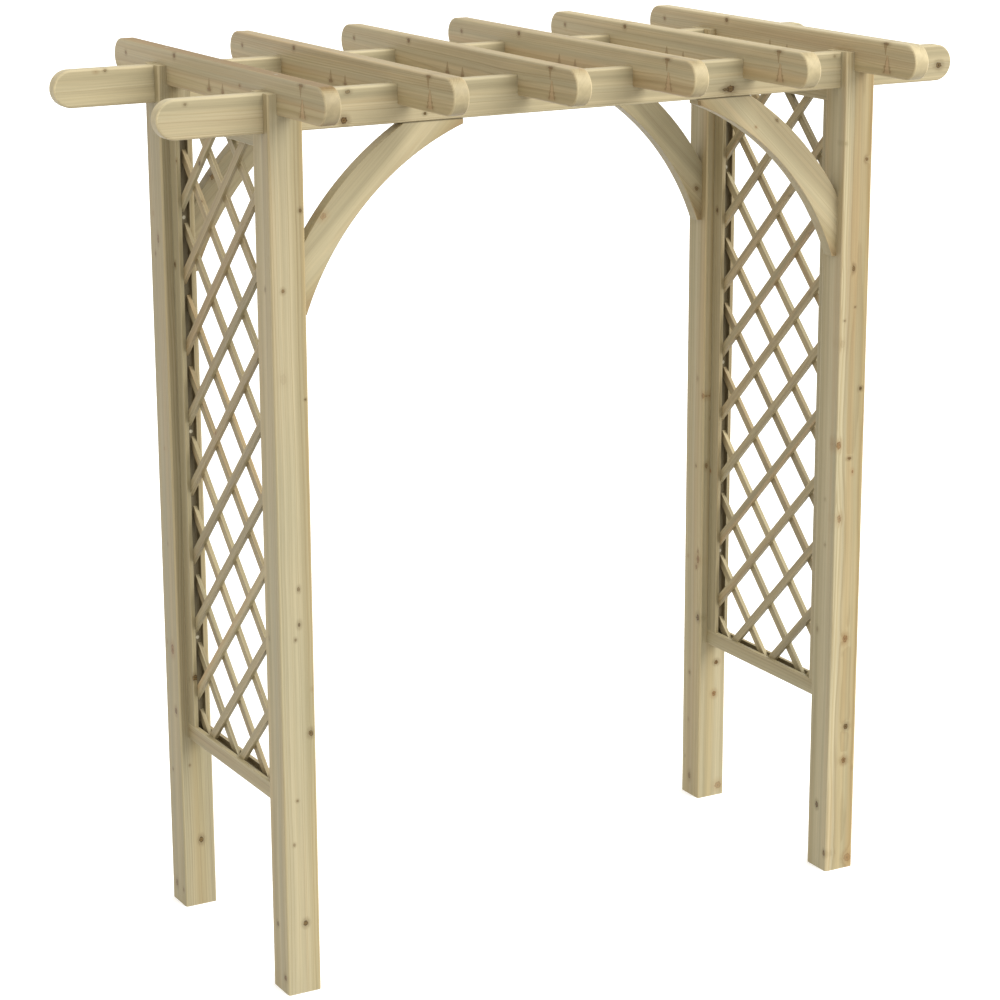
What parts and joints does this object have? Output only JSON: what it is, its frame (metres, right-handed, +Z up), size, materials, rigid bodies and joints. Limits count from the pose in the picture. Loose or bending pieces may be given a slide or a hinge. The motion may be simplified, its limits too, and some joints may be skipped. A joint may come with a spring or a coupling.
{
  "type": "timber trellis arch",
  "caption": "Free-standing garden arch of square timber posts with round-ended rails and rafters, curved corner braces and a framed diagonal lattice on each side.",
  "frame": {"origin": "on the ground at the middle of the four posts", "axes": "+Z up; X along the two long rails, across the way through; Y along the rafters and the way through, with the front at -Y"},
  "size_m": [2.3998, 1.3348, 2.442],
  "materials": {
    "post_timber": "planed, pressure treated, matt",
    "rail_timber": "planed, pressure treated, matt",
    "rafter_timber": "planed, pressure treated, matt",
    "brace_timber": "planed, pressure treated, matt",
    "frame_timber": "planed, pressure treated, matt",
    "lath_timber": "fine sawn, pressure treated, matt",
    "zinc_steel": "zinc plated"
  },
  "bodies": {
    "root": {"brace_front_left": "brace_timber", "brace_front_right": "brace_timber", "brace_rear_left": "brace_timber", "brace_rear_right": "brace_timber", "brace_screws": "zinc_steel", "frame_screws": "zinc_steel", "post_front_left": "post_timber", "post_front_right": "post_timber", "post_rear_left": "post_timber", "post_rear_right": "post_timber", "rafter_1": "rafter_timber", "rafter_2": "rafter_timber", "rafter_3": "rafter_timber", "rafter_4": "rafter_timber", "rafter_5": "rafter_timber", "rafter_6": "rafter_timber", "rafter_screws": "zinc_steel", "rail_front": "rail_timber", "rail_rear": "rail_timber", "rail_screws": "zinc_steel", "trellis_left_inner_laths_1": "lath_timber", "trellis_left_inner_laths_2": "lath_timber", "trellis_left_inner_laths_3": "lath_timber", "trellis_left_inner_laths_4": "lath_timber", "trellis_left_inner_laths_5": "lath_timber", "trellis_left_inner_laths_6": "lath_timber", "trellis_left_outer_laths_1": "lath_timber", "trellis_left_outer_laths_2": "lath_timber", "trellis_left_outer_laths_3": "lath_timber", "trellis_left_outer_laths_4": "lath_timber", "trellis_left_outer_laths_5": "lath_timber", "trellis_left_outer_laths_6": "lath_timber", "trellis_left_rail_bottom": "frame_timber", "trellis_left_rail_top": "frame_timber", "trellis_left_staples": "zinc_steel", "trellis_left_stile_front": "frame_timber", "trellis_left_stile_rear": "frame_timber", "trellis_right_inner_laths_1": "lath_timber", "trellis_right_inner_laths_2": "lath_timber", "trellis_right_inner_laths_3": "lath_timber", "trellis_right_inner_laths_4": "lath_timber", "trellis_right_inner_laths_5": "lath_timber", "trellis_right_inner_laths_6": "lath_timber", "trellis_right_outer_laths_1": "lath_timber", "trellis_right_outer_laths_2": "lath_timber", "trellis_right_outer_laths_3": "lath_timber", "trellis_right_outer_laths_4": "lath_timber", "trellis_right_outer_laths_5": "lath_timber", "trellis_right_outer_laths_6": "lath_timber", "trellis_right_rail_bottom": "frame_timber", "trellis_right_rail_top": "frame_timber", "trellis_right_staples": "zinc_steel", "trellis_right_stile_front": "frame_timber", "trellis_right_stile_rear": "frame_timber", "trellis_screws": "zinc_steel"}
  },
  "joints": []
}
